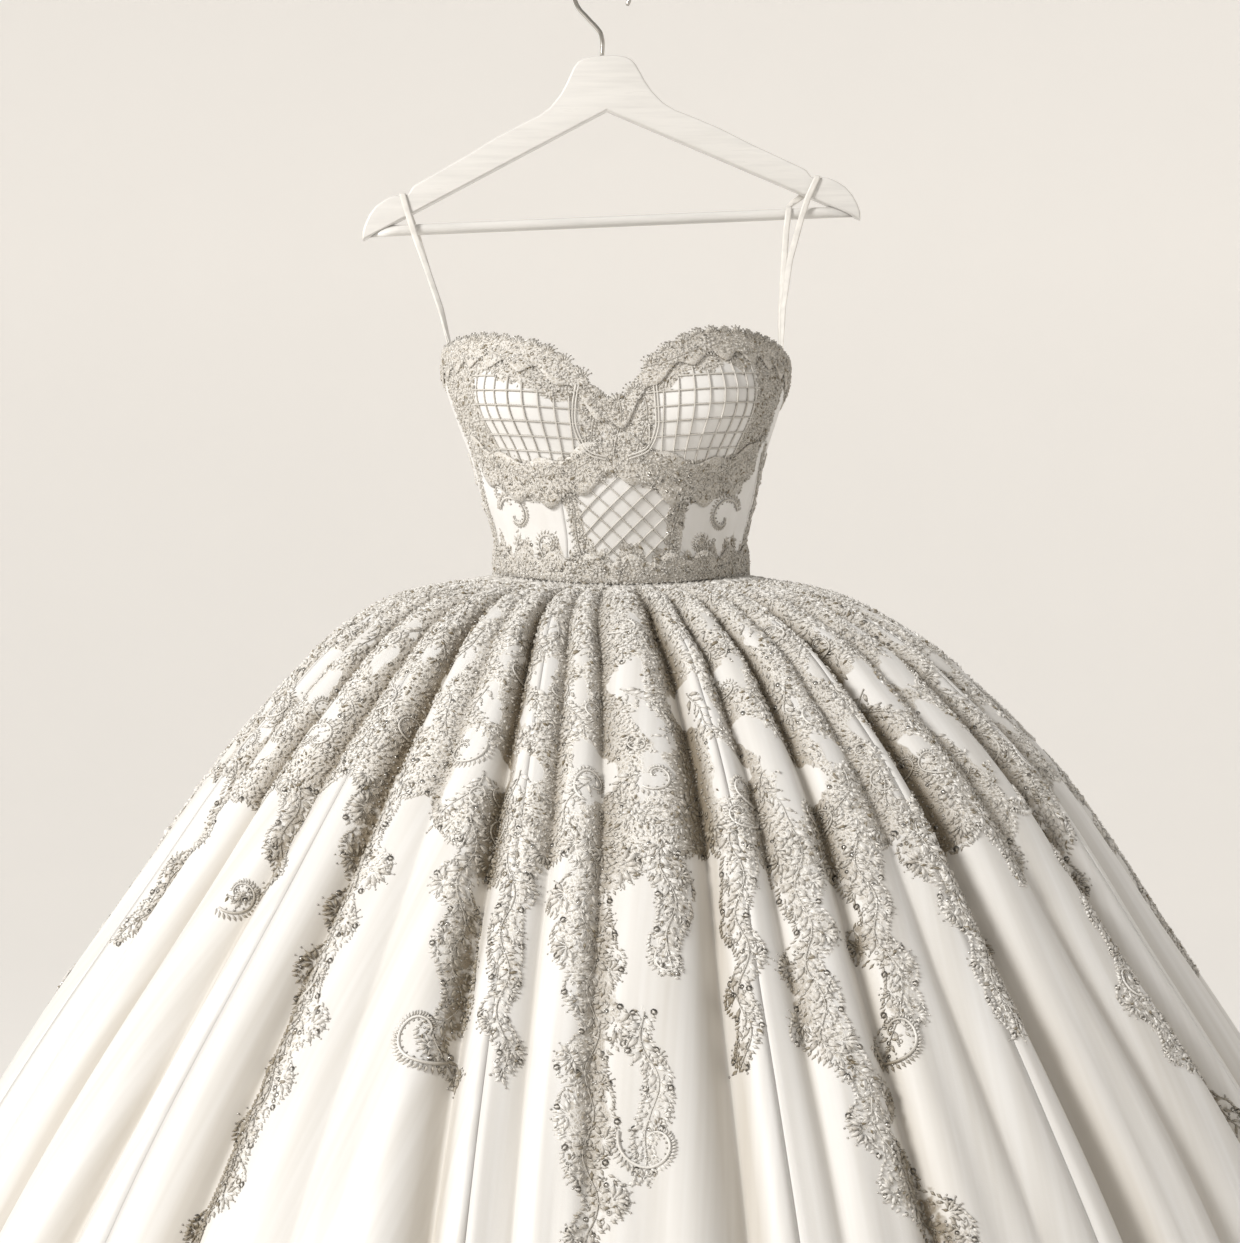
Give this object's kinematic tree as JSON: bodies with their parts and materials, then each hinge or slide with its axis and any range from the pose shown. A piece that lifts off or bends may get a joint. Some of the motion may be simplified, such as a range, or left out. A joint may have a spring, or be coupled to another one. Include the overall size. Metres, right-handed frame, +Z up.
{
  "type": "wedding dress on a wooden hanger",
  "caption": "Strapless ball gown with a sweetheart bodice, beaded lace and a full pleated skirt, hung by ribbon loops from a wooden hanger.",
  "frame": {"origin": "the point inside the crown of the hanger's hook that rests on the rail", "axes": "+Z up, -Y out of the front of the gown towards the viewer, +X to the viewer's right"},
  "size_m": [1.6078, 0.9895, 1.6163],
  "materials": {
    "satin": "ivory satin under tulle",
    "lace": "corded and beaded lace in silvery ivory",
    "ribbon": "narrow satin ribbon",
    "painted_wood": "white satin paint",
    "chrome": "polished wire"
  },
  "bodies": {
    "root": {"bodice_cup_left": "satin", "bodice_cup_right": "satin", "bodice_centre_front": "satin", "bodice_side_front_left": "satin", "bodice_side_front_right": "satin", "bodice_side_left": "satin", "bodice_side_right": "satin", "bodice_back_left": "satin", "bodice_back_right": "satin", "back_placket": "satin", "neck_lace_front": "lace", "neck_lace_back_left": "lace", "neck_lace_back_right": "lace", "underbust_lace": "lace", "waist_lace_left": "lace", "waist_lace_right": "lace", "skirt_back_left": "satin", "skirt_side_back_left": "satin", "skirt_side_left": "satin", "skirt_side_front_left": "satin", "skirt_front_left": "satin", "skirt_centre_front": "satin", "skirt_front_right": "satin", "skirt_side_front_right": "satin", "skirt_side_right": "satin", "skirt_side_back_right": "satin", "skirt_back_right": "satin", "lace_back_left": "lace", "lace_side_back_left": "lace", "lace_side_left": "lace", "lace_side_front_left": "lace", "lace_front_left": "lace", "lace_centre_front": "lace", "lace_front_right": "lace", "lace_side_front_right": "lace", "lace_side_right": "lace", "lace_side_back_right": "lace", "lace_back_right": "lace", "hanger_loop_left": "ribbon", "hanger_loop_right": "ribbon", "hanger_body": "painted_wood", "trouser_bar": "painted_wood", "hook": "chrome"}
  },
  "joints": []
}
